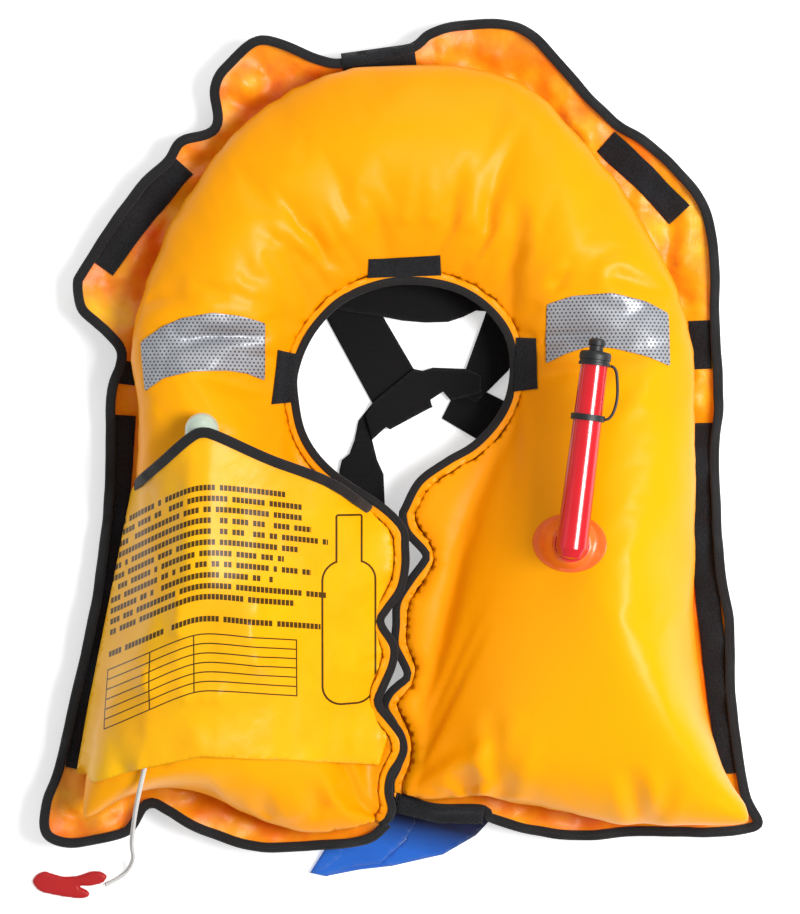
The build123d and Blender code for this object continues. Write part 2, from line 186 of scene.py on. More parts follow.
def sheet_mesh(name, points, faces, finishes, **numbers):
    """A smooth-shaded mesh object. numbers are values kept on its points for the finish to read."""
    mesh = bpy.data.meshes.new(name)
    mesh.from_pydata([tuple(p) for p in points], [], faces)
    for key, values in numbers.items():
        mesh.attributes.new(key, "FLOAT", "POINT").data.foreach_set("value", np.asarray(values, "f"))
    mesh.update()
    mesh.polygons.foreach_set("use_smooth", [True] * len(mesh.polygons))
    for finish in finishes:
        mesh.materials.append(finish.material)
    piece = bpy.data.objects.new(name, mesh)
    bpy.context.scene.collection.objects.link(piece)
    return piece


floor_finish = Finish("bench_top", Roughness=0.6, Emission_Color=(1, 1, 1, 1), Emission_Strength=floor_glow)
floor_finish.feed("Base Color", floor_finish.blend(floor_finish.noise(3.0) * 0.1, (0.93, 0.93, 0.93, 1),
                                                   (0.90, 0.90, 0.905, 1)))


def square(half, level):
    return [(-half, -half, level), (half, -half, level), (half, half, level), (-half, half, level)]


sheet_mesh("bench", square(floor_half, 0), [(0, 1, 2, 3)], [floor_finish])

# ---- The pull cord: 3.5 mm braided polyester, crimped in a brass sleeve at the firing lever.
# It comes out below the flap, hangs over the cover's edge and lies on the surface.
CORD_DIAMETER = 3.5 * MM
CORD_ROUTE = [
    (-182, -196, 112), (-184, -214, 113), (-188, -235, 112), (-193, -255, 108), (-197, -272, 101),
    (-200, -287, 89), (-203, -299, 72), (-205, -308, 52), (-206, -316, 32), (-208, -323, 14),
    (-212, -332, 3.8), (-220, -340, 1.9), (-231, -345, 1.9),
]
cord_finish = Finish("white_braid", Roughness=0.75, Sheen_Weight=0.25)


def smooth_line(route):
    """The points along the smooth line that a route of control points gives."""
    curve = bpy.data.curves.new("route", "CURVE")
    curve.dimensions = "3D"
    curve.resolution_u = 10
    spline = curve.splines.new("NURBS")
    spline.points.add(len(route) - 1)
    for point, place in zip(spline.points, route):
        point.co = (*(v * MM for v in place), 1)
    spline.order_u = 3
    spline.use_endpoint_u = True
    carrier = bpy.data.objects.new("route", curve)
    bpy.context.scene.collection.objects.link(carrier)
    bpy.context.view_layer.update()
    line = bpy.data.meshes.new_from_object(carrier.evaluated_get(bpy.context.evaluated_depsgraph_get()))
    points = [v.co.copy() for v in line.vertices]
    bpy.data.objects.remove(carrier)
    bpy.data.meshes.remove(line)
    return points


def sweep(name, line, ups, profile, finish):
    """A profile of (across, up) offsets swept along a line, up given at each point."""
    points, faces, along, across = [], [], [], []
    count, width = len(line), len(profile)
    travelled = 0.0
    spans = [0.0]
    for first, second in zip(profile, profile[1:]):
        spans.append(spans[-1] + math.dist(first, second))
    for i, here in enumerate(line):
        ahead = (line[min(i + 1, count - 1)] - line[max(i - 1, 0)]).normalized()
        side = ahead.cross(ups[i]).normalized()
        up = side.cross(ahead)
        if i:
            travelled += (here - line[i - 1]).length
        for (a, u), span in zip(profile, spans):
            points.append(here + side * a + up * u)
            along.append(travelled)
            across.append(span)
    for here in range(0, (count - 1) * width, width):
        there = here + width
        for k in range(width):
            m = (k + 1) % width
            faces.append((here + k, here + m, there + m, there + k))
    faces.append(tuple(range(width - 1, -1, -1)))
    faces.append(tuple((count - 1) * width + k for k in range(width)))
    return sheet_mesh(name, points, faces, [finish], along=along, across=across)


def ring(wide, high, count):
    """Points at even turns round a circle or an oval."""
    turns = [math.tau * k / count for k in range(count)]
    return [(wide * math.cos(turn), high * math.sin(turn)) for turn in turns]


def stands_for(piece, node, body="jacket"):
    """The piece moves with its body and takes the node's place."""
    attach(piece, body)
    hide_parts(node)


def step_evenly(line, step):
    """The same line with points at even steps."""
    lengths = np.concatenate([[0], np.cumsum([(b - a).length for a, b in zip(line, line[1:])])])
    count = max(2, round(lengths[-1] / step))
    places = np.linspace(0, lengths[-1], count + 1)
    array = np.array([tuple(p) for p in line])
    return [Vector([np.interp(s, lengths, array[:, k]) for k in range(3)]) for s in places]


cord_line = step_evenly(smooth_line(CORD_ROUTE), 1.2 * MM)
cord_along, cord_round = cord_finish.value("along"), cord_finish.value("across")
strand = ((cord_along * 1900 + cord_round * 1140).sine() * (cord_along * 1900 - cord_round * 1140).sine())
cord_grey, cord_white = (0.62, 0.61, 0.58, 1), (0.90, 0.90, 0.88, 1)
cord_finish.feed("Base Color", cord_finish.blend(strand * 0.5 + 0.5, cord_grey, cord_white))
cord_finish.bump(strand, 0.35 * MM)
pull_cord = sweep("braided_pull_cord", cord_line, [Vector((0.9, 0.3, 0.3))] * len(cord_line),
                  ring(CORD_DIAMETER / 2, CORD_DIAMETER / 2, 10), cord_finish)
stands_for(pull_cord, "pull_cord", "pull_line")

# ---- The bladder: two layers of coated nylon film welded round the edge and blown up with gas.
# The neck and front seams are held by the binding, so the film puckers where it leaves them.
# Its underside rests on the cover and the gas cylinder presses a dent into the left lobe.
INNER_EDGE = [
    (-7, -268, 33), (-7, -258, 34), (-2, -248, 34), (1, -238, 34), (1, -231, 35), (-4, -216, 36),
    (-12, -202, 36), (-8, -190, 36), (0, -182, 36), (6, -176, 36), (1, -164, 36), (-4, -153, 36),
    (-3, -137, 36), (-2, -119, 36), (8, -102, 36), (19, -87, 37), (20, -82, 38), (10, -71, 38),
    (6, -66, 38), (2, -52, 38), (5, -44, 38), (16, -24, 40), (38, -8, 42), (61, 6, 43), (81, 31, 43),
    (88, 59, 43), (84, 87, 43), (67, 109, 43), (43, 123, 43), (13, 128, 43), (-15, 125, 43),
    (-44, 112, 43), (-66, 88, 43), (-77, 62, 43), (-78, 42, 43), (-71, 10, 43), (-50, -17, 44),
    (-9, -45, 45), (6, -62, 46), (8, -76, 46), (8, -92, 46), (4, -110, 46), (-7, -126, 46),
    (-11, -135, 46), (-1, -152, 46), (-2, -168, 46), (-10, -187, 46), (-13, -197, 46), (-4, -209, 46),
    (4, -220, 46), (7, -232, 46), (4, -242, 46), (-3, -253, 45), (-5, -266, 44), (-2, -279, 42),
    (-5, -288, 38), (-12, -294, 35),
]
BLADDER_EDGE = [
    (-20, -296), (-70, -306), (-120, -304), (-170, -294), (-218, -293), (-268, -302), (-268, -251),
    (-262, -196), (-250, -140), (-242, -80), (-234, -10), (-230, 40), (-228, 90), (-208, 155), (-180, 208),
    (-142, 258), (-92, 296), (-41, 314), (2, 318), (60, 315), (110, 298), (158, 252), (194, 209),
    (228, 150), (249, 88), (259, 18), (265, -50), (269, -118), (276, -196), (284, -259), (288, -306),
    (230, -312), (170, -310), (120, -300), (72, -288), (30, -279), (4, -270),
]
bladder_finish = Finish("bladder_film", Specular_IOR_Level=0.14)
film_step = 6.6 * MM
film_slack = 1.10
film_floor = 6 * MM
gas_pressure = 42.0
flange_width = 9 * MM


def flowing(points, step, closed=False):
    """A smooth line through all the points, with points at even steps."""
    knots = [Vector([v * MM for v in (*p, 0)[:3]]) for p in points]
    if closed:
        knots = knots[-1:] + knots + knots[:2]
    else:
        knots = [knots[0] * 2 - knots[1]] + knots + [knots[-1] * 2 - knots[-2]]
    line = []
    for a, b, c, d in zip(knots, knots[1:], knots[2:], knots[3:]):
        for k in range(8):
            t = k / 8
            line.append(0.5 * (2 * b + (c - a) * t + (2 * a - 5 * b + 4 * c - d) * t ** 2
                               + (3 * b - a - 3 * c + d) * t ** 3))
    line.append(knots[-2])
    return step_evenly(line, step)


def moved_sideways(line, distance, passes=6):
    """The line moved to its left in plan and eased, so that its own bends don't cross."""
    moved = []
    for i, here in enumerate(line):
        ahead = line[min(i + 3, len(line) - 1)] - line[max(i - 3, 0)]
        moved.append(here + Vector((-ahead.y, ahead.x, 0)).normalized() * distance)
    for _ in range(passes):
        inner = [(a + 2 * b + c) / 4 for a, b, c in zip(moved, moved[1:], moved[2:])]
        moved = [moved[0], *inner, moved[-1]]
    return moved


def filled(loop, step, seed):
    """Even triangles inside a closed loop of points; the loop's points come first."""
    rim = np.array([(p[0], p[1]) for p in loop])
    draw = random.Random(seed)
    low, high = rim.min(0), rim.max(0)
    grid = []
    row, y = 0, low[1]
    while y < high[1]:
        x = low[0] + (step / 2 if row % 2 else 0)
        while x < high[0]:
            grid.append((x + draw.uniform(-0.1, 0.1) * step, y + draw.uniform(-0.1, 0.1) * step))
            x += step
        y += step * math.sqrt(3) / 2
        row += 1
    grid = np.array(grid)
    inside = np.zeros(len(grid), bool)
    nearest = np.full(len(grid), 9.0)
    for (x0, y0), (x1, y1) in zip(rim, np.roll(rim, -1, 0)):
        crosses = (y0 > grid[:, 1]) != (y1 > grid[:, 1])
        inside ^= crosses & (grid[:, 0] < (x1 - x0) * (grid[:, 1] - y0) / ((y1 - y0) or 1e-12) + x0)
        nearest = np.minimum(nearest, np.hypot(grid[:, 0] - x0, grid[:, 1] - y0))
    kept = grid[inside & (nearest > 0.62 * step)]
    points = [Vector(p) for p in rim] + [Vector(p) for p in kept]
    edges = [(i, (i + 1) % len(rim)) for i in range(len(rim))]
    places, _, faces, *_ = delaunay_2d_cdt(points, edges, [], 1, 1e-6)
    return places, [tuple(face) for face in faces]


def draped_by_physics(cloth, held, slack, frames, pressure=0.0, gravity=0.0, bending=0.05, stiffness=60.0):
    """Runs the cloth on its mesh with the held points fixed and returns the settled places."""
    cloth.shape_key_add(name="Basis")
    cut = cloth.shape_key_add(name="cut")
    for point, vertex in zip(cut.data, cloth.data.vertices):
        point.co = (vertex.co.x * slack, vertex.co.y * slack, vertex.co.z)
    cloth.vertex_groups.new(name="held").add(held, 1.0, "REPLACE")
    modifier = cloth.modifiers.new("Cloth", "CLOTH")
    settings = modifier.settings
    settings.quality = 6
    settings.mass = 0.3
    settings.tension_stiffness = settings.compression_stiffness = stiffness
    settings.shear_stiffness = stiffness / 3
    settings.bending_stiffness = bending
    settings.tension_damping = settings.compression_damping = settings.shear_damping = 25
    settings.air_damping = 2
    settings.use_pressure = pressure > 0
    settings.uniform_pressure_force = pressure
    settings.vertex_group_mass = "held"
    settings.rest_shape_key = cut
    settings.effector_weights.gravity = gravity
    modifier.collision_settings.distance_min = 2 * MM
    modifier.collision_settings.use_self_collision = False
    modifier.point_cache.frame_end = frames
    bpy.context.scene.frame_end = frames
    for step in range(1, frames + 1):
        bpy.context.scene.frame_set(step)
    settled = cloth.evaluated_get(bpy.context.evaluated_depsgraph_get())
    places = np.array([tuple(v.co) for v in settled.data.vertices])
    bpy.context.scene.frame_set(1)
    cloth.modifiers.clear()
    cloth.shape_key_clear()
    cloth.vertex_groups.clear()
    return places


def obstacle(name, points, faces):
    """Something that the film or the cloth can't pass through while it settles."""
    body = bpy.data.objects.new(name, bpy.data.meshes.new(name))
    body.data.from_pydata(points, [], faces)
    bpy.context.scene.collection.objects.link(body)
    body.modifiers.new("Collision", "COLLISION")
    body.collision.thickness_outer = 2 * MM
    body.collision.cloth_friction = 3
    return body


# Grooves where the film gathers: from and to on the film, the groove's depth and half its width.
GATHERS = [
    ((76, -276), (74, -196), 9, 7), ((84, -262), (92, -206), 5, 6), ((188, -292), (172, -236), 9, 7),
    ((196, -286), (206, -246), 5, 6), ((-150, -292), (-146, -252), 6, 7), ((-56, -288), (-66, -250), 7, 8),
    ((-100, -286), (-104, -258), 5, 6), ((-206, 112), (-150, 122), 4, 6), ((-150, 122), (-96, 108), 3, 5),
    ((122, 126), (168, 130), 3, 5), ((168, 130), (216, 112), 4, 6), ((-214, 30), (-180, 38), 3, 6),
]
neck_y, neck_radius = 40 * MM, 88 * MM
pucker_reach, pucker_high = 95 * MM, 5.2 * MM
upper_side = 60 * MM
seam_top = 46 * MM
sleeve_travel, sleeve_gap, trough_half = 34 * MM, 2 * MM, 6 * MM


def uneven(x, y, along, across, seed):
    """A smooth number from 0 up that changes with x and y at the given rates."""
    return abs(noise.noise(Vector((x * along, y * across, seed))))


def gathers(x, y, z):
    """How much the film is lifted or pressed in at a place on its upper side."""
    if z < upper_side:
        return 0
    change = 0
    for (x0, y0), (x1, y1), depth, half in GATHERS:
        start, run = Vector((x0, y0)) * MM, Vector((x1 - x0, y1 - y0)) * MM
        part = max(0, min(1, (Vector((x, y)) - start).dot(run) / run.length_squared))
        off = (Vector((x, y)) - start - run * part).length / (half * MM)
        change -= depth * MM * (1 - part ** 2) * (math.exp(-off * off) - 0.5 * math.exp(-((off - 2) ** 2)))
    around, out = math.atan2(y - neck_y, x), math.hypot(x, y - neck_y) - neck_radius
    if 0 < out < pucker_reach and y > 0:
        ripple = 1 - 2.2 * uneven(around, out, 7.5, 4, 3.7)
        fade = math.sin(math.pi * (out / pucker_reach) ** 0.7) ** 1.5
        change += pucker_high * ripple ** 3 * fade * math.exp(-(((around - 1.5) / 0.85) ** 2))
    return change


def eased(places):
    """The film pulled taut away from the neck: small wrinkles go, and the puckers near the seam stay."""
    ends = np.array([(a, b) for face in film_faces for a, b in zip(face, face[1:] + face[:1])])
    counts = np.bincount(ends[:, 0], minlength=len(places))[:, None]
    reach = np.min([np.hypot(places[:, 0] - p.x, places[:, 1] - p.y) for p in seam_line], axis=0)
    amount = np.clip((reach - 60 * MM) / (60 * MM), 0, 1)[:, None] * 0.6
    for _ in range(14):
        sums = np.zeros_like(places)
        np.add.at(sums, ends[:, 0], places[ends[:, 1]])
        places = places + (sums / counts - places) * amount
    return places + np.array([(0, 0, gathers(*place)) for place in places])


def fitted_height(places):
    """The settled places with the crown brought to the mouth tube's disc and the film pressed
    down where the cord's sleeve slides over it."""
    disc_low, disc_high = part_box("oral_tube_patch")
    middle = (disc_low + disc_high) / 2
    near = np.hypot(places[:, 0] - middle.x, places[:, 1] - middle.y) < 20 * MM
    crown = places[near, 2].max()
    rise = np.clip((places[:, 2] - seam_top) / (crown - seam_top), 0, None)
    fitted = eased(places)
    fitted[:, 2] += (disc_low.z - 0.3 * MM - crown) * rise ** 1.3
    sleeve_low, sleeve_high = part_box("cord_sleeve")
    x, y = fitted[:, 0], fitted[:, 1]
    beside = np.maximum(np.maximum(sleeve_low.x - x, x - sleeve_high.x), 0)
    beyond = np.maximum(np.maximum(sleeve_low.y - sleeve_travel - y, y - sleeve_high.y), 0)
    room = np.clip(np.hypot(beside, beyond) - trough_half, 0, None)
    fitted[:, 2] = np.minimum(fitted[:, 2], sleeve_low.z - sleeve_gap + room)
    return fitted


inner_line = flowing(INNER_EDGE, 3 * MM)
seam_line = step_evenly(moved_sideways(inner_line, -flange_width), film_step)
bound_line = moved_sideways(inner_line, -4 * MM)
outer_line = flowing(BLADDER_EDGE, film_step)
seam_loop = outer_line + seam_line
bladder_plan, bladder_faces = filled(seam_loop, film_step, seed=5)
seam_level = {i: p.z for i, p in enumerate(seam_line, len(outer_line))}
middle_level = 40 * MM
start_gap = 1.5 * MM
rim_count = len(seam_loop)
upper = [(p.x, p.y, seam_level.get(i, middle_level) if i < rim_count else middle_level + start_gap)
         for i, p in enumerate(bladder_plan)]
lower = [(p.x, p.y, middle_level - start_gap) for p in bladder_plan[rim_count:]]
under_shift = len(bladder_plan) - rim_count
film_faces = bladder_faces + [tuple(i if i < rim_count else i + under_shift for i in reversed(face))
                              for face in bladder_faces]
bladder = sheet_mesh("air_bladder_film", upper + lower, film_faces, [bladder_finish])
shop_floor = obstacle("shop_floor", square(1, film_floor), [(0, 1, 2, 3)])
cylinder_low, cylinder_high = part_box("co2_cylinder")
inflator_low, inflator_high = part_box("inflator_body")
corners = [(inflator_low[0], inflator_low[1]), (inflator_high[0], inflator_low[1]),
           (inflator_high[0], inflator_high[1]), (cylinder_high[0], inflator_high[1]),
           (cylinder_high[0], cylinder_high[1]), (cylinder_low[0], cylinder_high[1]),
           (cylinder_low[0], inflator_high[1]), (inflator_low[0], inflator_high[1])]
press_levels = (cylinder_low[2] - 1 * MM, 160 * MM)
press = obstacle("press", [(x, y, z) for z in press_levels for x, y in corners],
                 [(7, 6, 5, 4, 3, 2, 1, 0)]
                 + [(k, (k + 1) % 8, (k + 1) % 8 + 8, k + 8) for k in range(8)])
places = draped_by_physics(bladder, list(range(len(outer_line), rim_count)), film_slack, 45, gas_pressure)
for body in (shop_floor, press):
    bpy.data.objects.remove(body)
bladder.data.vertices.foreach_set("co", fitted_height(places).ravel())


def surfaces(*pieces):
    """One search tree over the settled shape of these pieces."""
    points, faces = [], []
    for piece in pieces:
        start = len(points)
        points += [tuple(v.co) for v in piece.data.vertices]
        faces += [tuple(start + k for k in face.vertices) for face in piece.data.polygons]
    return BVHTree.FromPolygons(points, faces)


def height_on(tree, x, y, otherwise=0.0):
    hit = tree.ray_cast(Vector((x, y, 1)), Vector((0, 0, -1)))[0]
    return hit.z if hit else otherwise


def smoothed(piece, levels=1):
    """The piece with subdivision applied to its mesh."""
    modifier = piece.modifiers.new("smooth", "SUBSURF")
    modifier.levels = modifier.render_levels = levels
    keep_applied(piece)


def keep_applied(piece):
    before = piece.data
    view = bpy.context.evaluated_depsgraph_get()
    piece.data = bpy.data.meshes.new_from_object(piece.evaluated_get(view))
    piece.modifiers.clear()
    bpy.data.meshes.remove(before)


smoothed(bladder)
bladder_top = surfaces(bladder)


def shade(red, green, blue):
    """A colour given on the usual 0 to 255 scale."""
    return (*[((c / 255 + 0.055) / 1.055) ** 2.4 if c > 10 else c / 255 / 12.92
              for c in (red, green, blue)], 1)


# Painted shade: the film's orange is made darker lower down, from 100 mm down towards 20 mm, where its sides
# turn from the light.
low_film_painted_shade = 1 - bladder_finish.rise(bladder_finish.parts()[2], 20 * MM, 100 * MM)
bladder_colour = bladder_finish.blend(low_film_painted_shade * 0.75, shade(252, 170, 0), shade(246, 132, 0))
bladder_colour = bladder_finish.blend(bladder_finish.noise(14) * 0.35, bladder_colour, shade(251, 158, 0))
bladder_finish.feed("Base Color", bladder_colour)
bladder_finish.feed("Roughness", bladder_finish.noise(26) * 0.12 + 0.30)
bladder_finish.bump(bladder_finish.noise(1400, 2) * 0.3 + bladder_finish.noise(90, 3), 0.35 * MM, 0.5)
stands_for(bladder, "air_bladder")

flange_points, flange_faces = [], []
flange_rows = 5
for i, edge in enumerate(bound_line):
    seam = min(seam_line, key=lambda p: (p - edge).xy.length)
    for k in range(flange_rows):
        part = 1.25 * k / (flange_rows - 1)
        wave = 0.5 * MM * math.sin(i * 0.9) * max(0, part - 0.5)
        flange_points.append(edge.lerp(seam, part) + Vector((0, 0, wave)))
for i in range(len(bound_line) - 1):
    for k in range(flange_rows - 1):
        a = i * flange_rows + k
        flange_faces.append((a, a + flange_rows, a + flange_rows + 1, a + 1))
flange = sheet_mesh("bladder_weld_flange", flange_points, flange_faces, [bladder_finish])
flange.modifiers.new("two_layers", "SOLIDIFY").thickness = 0.8 * MM
keep_applied(flange)
stands_for(flange, "air_bladder")

# ---- The cover: a folded shell of dark woven nylon outside and coated orange nylon inside.
# It lies open under the bladder with its edge standing up round it, and it is cut a little
# larger than its edge, so the lining between the edge and the bladder crumples.
OUTER_EDGE = [
    (-6, -294), (-25, -307), (-76, -313), (-115, -312), (-154, -299), (-181, -284), (-195, -280),
    (-209, -300), (-236, -307), (-255, -310), (-271, -305), (-277, -294), (-275, -274), (-267, -251),
    (-255, -200), (-241, -138), (-236, -110), (-228, -40), (-226, 38), (-218, 65), (-218, 77),
    (-228, 89), (-236, 96), (-248, 108), (-252, 128), (-248, 139), (-228, 170), (-201, 206), (-181, 225),
    (-170, 241), (-144, 252), (-145, 280), (-135, 299), (-106, 320), (-60, 305), (-41, 303), (2, 312),
    (14, 317), (25, 326), (53, 334), (84, 333), (103, 326), (127, 303), (166, 260), (205, 233),
    (236, 198), (248, 163), (250, 92), (253, 38), (250, -1), (253, -87), (261, -134), (263, -196),
    (273, -266), (279, -298), (189, -301), (142, -304), (103, -299), (72, -290), (64, -283), (25, -282),
    (-2, -274),
]
cover_step = 7.5 * MM
cover_slack = 1.05
cover_floor = 7.5 * MM
lining_finish = Finish("orange_lining", Roughness=0.42, Sheen_Weight=0.1)
shell_finish = Finish("dark_cover_cloth", Roughness=0.8, Sheen_Weight=0.3, Sheen_Roughness=0.4)


def wander(position, size, seed=0.0):
    """A smooth number from -1 to 1 that changes over the given size."""
    return noise.noise(Vector((position.x / size, position.y / size, seed)))


outer_edge = flowing(OUTER_EDGE, 3 * MM)
for point in outer_edge:
    point.z = EDGE_LEVEL + 9 * MM * wander(point, 60 * MM, 3.3) + 5 * MM * wander(point, 22 * MM, 8.1)
cover_loop = step_evenly(outer_edge, cover_step) + step_evenly(bound_line, cover_step)
cover_plan, cover_faces = filled(cover_loop, cover_step, seed=11)
cover_rim = len(cover_loop)
cover_edge_places = np.array([tuple(p) for p in cover_loop])
cover_points = []
for i, p in enumerate(cover_plan):
    if i < cover_rim:
        cover_points.append(tuple(cover_loop[i]))
        continue
    reach = np.hypot(cover_edge_places[:, 0] - p.x, cover_edge_places[:, 1] - p.y)
    rim_level = cover_edge_places[reach.argmin(), 2] - 3 * MM
    sink = math.exp(-reach.min() / (30 * MM))
    cover_points.append((p.x, p.y, cover_floor + 2 * MM + (rim_level - cover_floor) * sink))
cover = sheet_mesh("cover", cover_points, cover_faces, [lining_finish, shell_finish])
shop_floor = obstacle("shop_floor", square(1, cover_floor), [(0, 1, 2, 3)])
cover_places = draped_by_physics(cover, list(range(cover_rim)), cover_slack, 22, gravity=1.0,
                                 bending=0.02, stiffness=30)
bpy.data.objects.remove(shop_floor)
for i, vertex in enumerate(cover.data.vertices):
    x, y, z = cover_places[i]
    film = bladder_top.ray_cast(Vector((x, y, 0)), Vector((0, 0, 1)))[0]
    if i >= cover_rim:
        z = max(cover_floor, min(z, film.z - 1.8 * MM) if film else z)
        nearest = min(bound_line, key=lambda p: (p.x - x) ** 2 + (p.y - y) ** 2)
        if math.dist((nearest.x, nearest.y), (x, y)) < 14 * MM:
            z = min(z, nearest.z - 2.4 * MM)
        elif not film:
            fold = uneven(x, y, 26, 26, 7.7) + 0.4 * uneven(x, y, 70, 70, 1)
            rim = np.hypot(cover_edge_places[:, 0] - x, cover_edge_places[:, 1] - y).min()
            z += (fold * 26 - 5) * MM * min(1, max(0, (rim - 6 * MM) / (16 * MM)))
    vertex.co = (x, y, z)
cover.data.polygons.foreach_set("material_index", [0] * len(cover.data.polygons))
smoothed(cover)
cover_tree = surfaces(cover)
shell_layers = cover.modifiers.new("lining_and_shell", "SOLIDIFY")
shell_layers.thickness = 1.2 * MM
shell_layers.material_offset = 1
shell_layers.material_offset_rim = 1
keep_applied(cover)
# One noise bumps the lining into crumples and also paints its colour from bright yellow to deep orange along
# them: painted fold shade and painted highlight.
crumple_and_fold_shade = lining_finish.noise(22, 3, 0.55)
lining_finish.feed("Base Color", lining_finish.blend(
    crumple_and_fold_shade * 2.2 - 0.6, shade(255, 190, 6), shade(248, 100, 0)))
lining_finish.feed("Roughness", lining_finish.noise(60) * 0.2 + 0.3)
lining_finish.bump(crumple_and_fold_shade + lining_finish.noise(900, 2) * 0.08, 5 * MM, 0.7)


def woven(finish, spacing, colour, dark):
    """Plain weave in two colours with threads at the given spacing."""
    x, y, _ = finish.parts()
    weave = (x * (math.pi / spacing)).sine() * (y * (math.pi / spacing)).sine()
    worn = finish.noise(30) * 0.5
    finish.feed("Base Color", finish.blend(abs(weave) * 0.6 + worn, dark, colour))
    finish.bump(abs(weave), 0.25 * MM)


woven(shell_finish, 1.1 * MM, shade(52, 54, 58), shade(24, 25, 28))
stands_for(cover, "cover_shell")

# ---- The bindings: woven nylon tape folded over the cover's raw edge and stitched through with
# one row of black thread. Round the neck the tape also holds the bladder's welded flange.
binding_finish = Finish("black_binding_tape", Roughness=0.7, Specular_IOR_Level=0.3, Sheen_Weight=0.12)
tape_along, tape_across = binding_finish.value("along"), binding_finish.value("across")
rib = (tape_along * (math.pi / (0.9 * MM))).sine() * (tape_across * (math.pi / (1.1 * MM))).sine()
stitch = (abs(tape_across - 5.6 * MM) < 0.45 * MM) * ((tape_along % (3.4 * MM)) < 2.5 * MM)
binding_finish.feed("Base Color", binding_finish.blend(
    (abs(rib) * 0.5 + binding_finish.noise(55) * 0.5), shade(8, 8, 9), shade(30, 29, 31)))
binding_finish.bump(abs(rib) * 0.5 + stitch * 1.6 + binding_finish.noise(160, 3) * 1.2, 0.5 * MM)
FOLD = [(-1.4, 0.0), (-1.0, 1.5), (0.6, 1.9), (5.2, 1.3), (6.4, 1.0), (6.5, 0.0),
        (6.4, -1.0), (5.2, -1.3), (0.6, -1.9), (-1.0, -1.5)]
fold_profile = [(a * MM, u * MM) for a, u in FOLD]


def leaning(line, lean, seed):
    """Up directions along a line that tilt a little to and fro."""
    ups = []
    for i, here in enumerate(line):
        ahead = line[min(i + 1, len(line) - 1)] - line[max(i - 1, 0)]
        side = ahead.cross(Vector((0, 0, 1))).normalized()
        tilt = lean + 0.45 * wander(here, 24 * MM, seed)
        ups.append((Vector((0, 0, 1)) - side * tilt).normalized())
    return ups


outer_binding = sweep("outer_edge_tape", outer_edge, leaning(outer_edge, 0.25, 4.4), fold_profile,
                      binding_finish)
narrow_profile = [(a * 0.8, u) for a, u in fold_profile]
inner_binding = sweep("neck_edge_tape", inner_line, leaning(inner_line, 0.15, 6.2), narrow_profile,
                      binding_finish)
for piece, node in ((outer_binding, "outer_edge_binding"), (inner_binding, "neck_edge_binding")):
    stands_for(piece, node)

# ---- The closing tapes: black hook tape sewn flat to the lining inside the cover's edge, and three
# short tabs over the neck binding. They hold the cover folded shut when the jacket is worn.
hook_finish = Finish("black_hook_tape", Roughness=0.85, Specular_IOR_Level=0.25, Sheen_Weight=0.15)
hooks = hook_finish.node("TexVoronoi", inputs={"Scale": 900.0, "Vector": hook_finish.place()})
hook_finish.feed("Base Color", hook_finish.blend(
    hooks * 0.9 + hook_finish.noise(24) * 0.5, shade(40, 43, 48), shade(12, 12, 14)))
hook_finish.bump(1 - hooks, 0.6 * MM, 0.7)


def cut_out(corners, step):
    """A closed outline with straight sides, with points at even steps along them."""
    loop = []
    for (x0, y0), (x1, y1) in zip(corners, corners[1:] + corners[:1]):
        count = max(1, round(math.dist((x0, y0), (x1, y1)) * MM / step))
        loop += [Vector(((x0 + (x1 - x0) * k / count) * MM, (y0 + (y1 - y0) * k / count) * MM, 0))
                 for k in range(count)]
    return loop


def turned_over(faces, shift):
    """The same faces on the under side, where the points are numbered on by the shift."""
    return [tuple(shift + i for i in reversed(face)) for face in faces]


def laid(name, loop, step, height, thick, finish, seed=2):
    """A flat piece cut to a loop, its upper face at height(x, y) and its lower face thick below."""
    plan, faces = filled(loop, step, seed)
    over = [(p.x, p.y, height(p.x, p.y)) for p in plan]
    below = [(x, y, z - thick) for x, y, z in over]
    count, rim = len(over), len(loop)
    shell = faces + turned_over(faces, count)
    turn = 1 if sum(a.x * b.y - b.x * a.y for a, b in zip(loop, loop[1:] + loop[:1])) > 0 else -1
    for i in range(rim):
        j = (i + 1) % rim
        wall = (i, count + i, count + j, j)
        shell.append(wall if turn > 0 else wall[::-1])
    return sheet_mesh(name, over + below, shell, [finish])


def band(centre_line, width):
    """The outline of a straight-sided band of the given width along a line of corners."""
    left, right = [], []
    for i, here in enumerate(centre_line):
        before, after = centre_line[max(0, i - 1)], centre_line[min(len(centre_line) - 1, i + 1)]
        ahead = Vector((after[0] - before[0], after[1] - before[1])).normalized() * width / 2
        left.append((here[0] - ahead.y, here[1] + ahead.x))
        right.append((here[0] + ahead.y, here[1] - ahead.x))
    return right + left[::-1]


CLOSING_TAPES = {
    "velcro_upper_left": ([(-168, 222), (-200, 186), (-232, 142)], 22),
    "velcro_upper_right": ([(163, 240), (193, 213), (221, 183)], 20),
    "velcro_long_left": ([(-213, 26), (-217, -40), (-222, -96), (-238, -170), (-252, -250)], 15),
    "velcro_long_right": ([(237, 20), (238, -60), (243, -120), (251, -190), (260, -255)], 18),
    "velcro_tab_top": ([(-43, 299), (14, 307)], 18),
    "velcro_tab_left": ([(-212, 50), (-210, 68)], 13),
    "velcro_tab_right": ([(237, 62), (236, 100)], 16),
    "velcro_hem_right": ([(0, -277), (32, -285), (67, -286)], 14),
}
over_edge = surfaces(cover, outer_binding)
for node, (line, width) in CLOSING_TAPES.items():
    base = over_edge if node in ("velcro_tab_top", "velcro_hem_right") else cover_tree
    tape = laid("hook_" + node, cut_out(band(line, width), 4 * MM), 4 * MM,
                lambda x, y: height_on(base, x, y, EDGE_LEVEL) + 1.6 * MM, 1.5 * MM, hook_finish)
    stands_for(tape, node)
neck_level = surfaces(flange, inner_binding, bladder)
NECK_TABS = {
    "neck_tab_top": [(-23, 132), (34, 134), (33, 149), (-22, 146)],
    "neck_tab_left": [(-97, 34), (-79, 36), (-77, 73), (-92, 76)],
    "neck_tab_right": [(90, 44), (108, 46), (107, 85), (92, 86)],
}
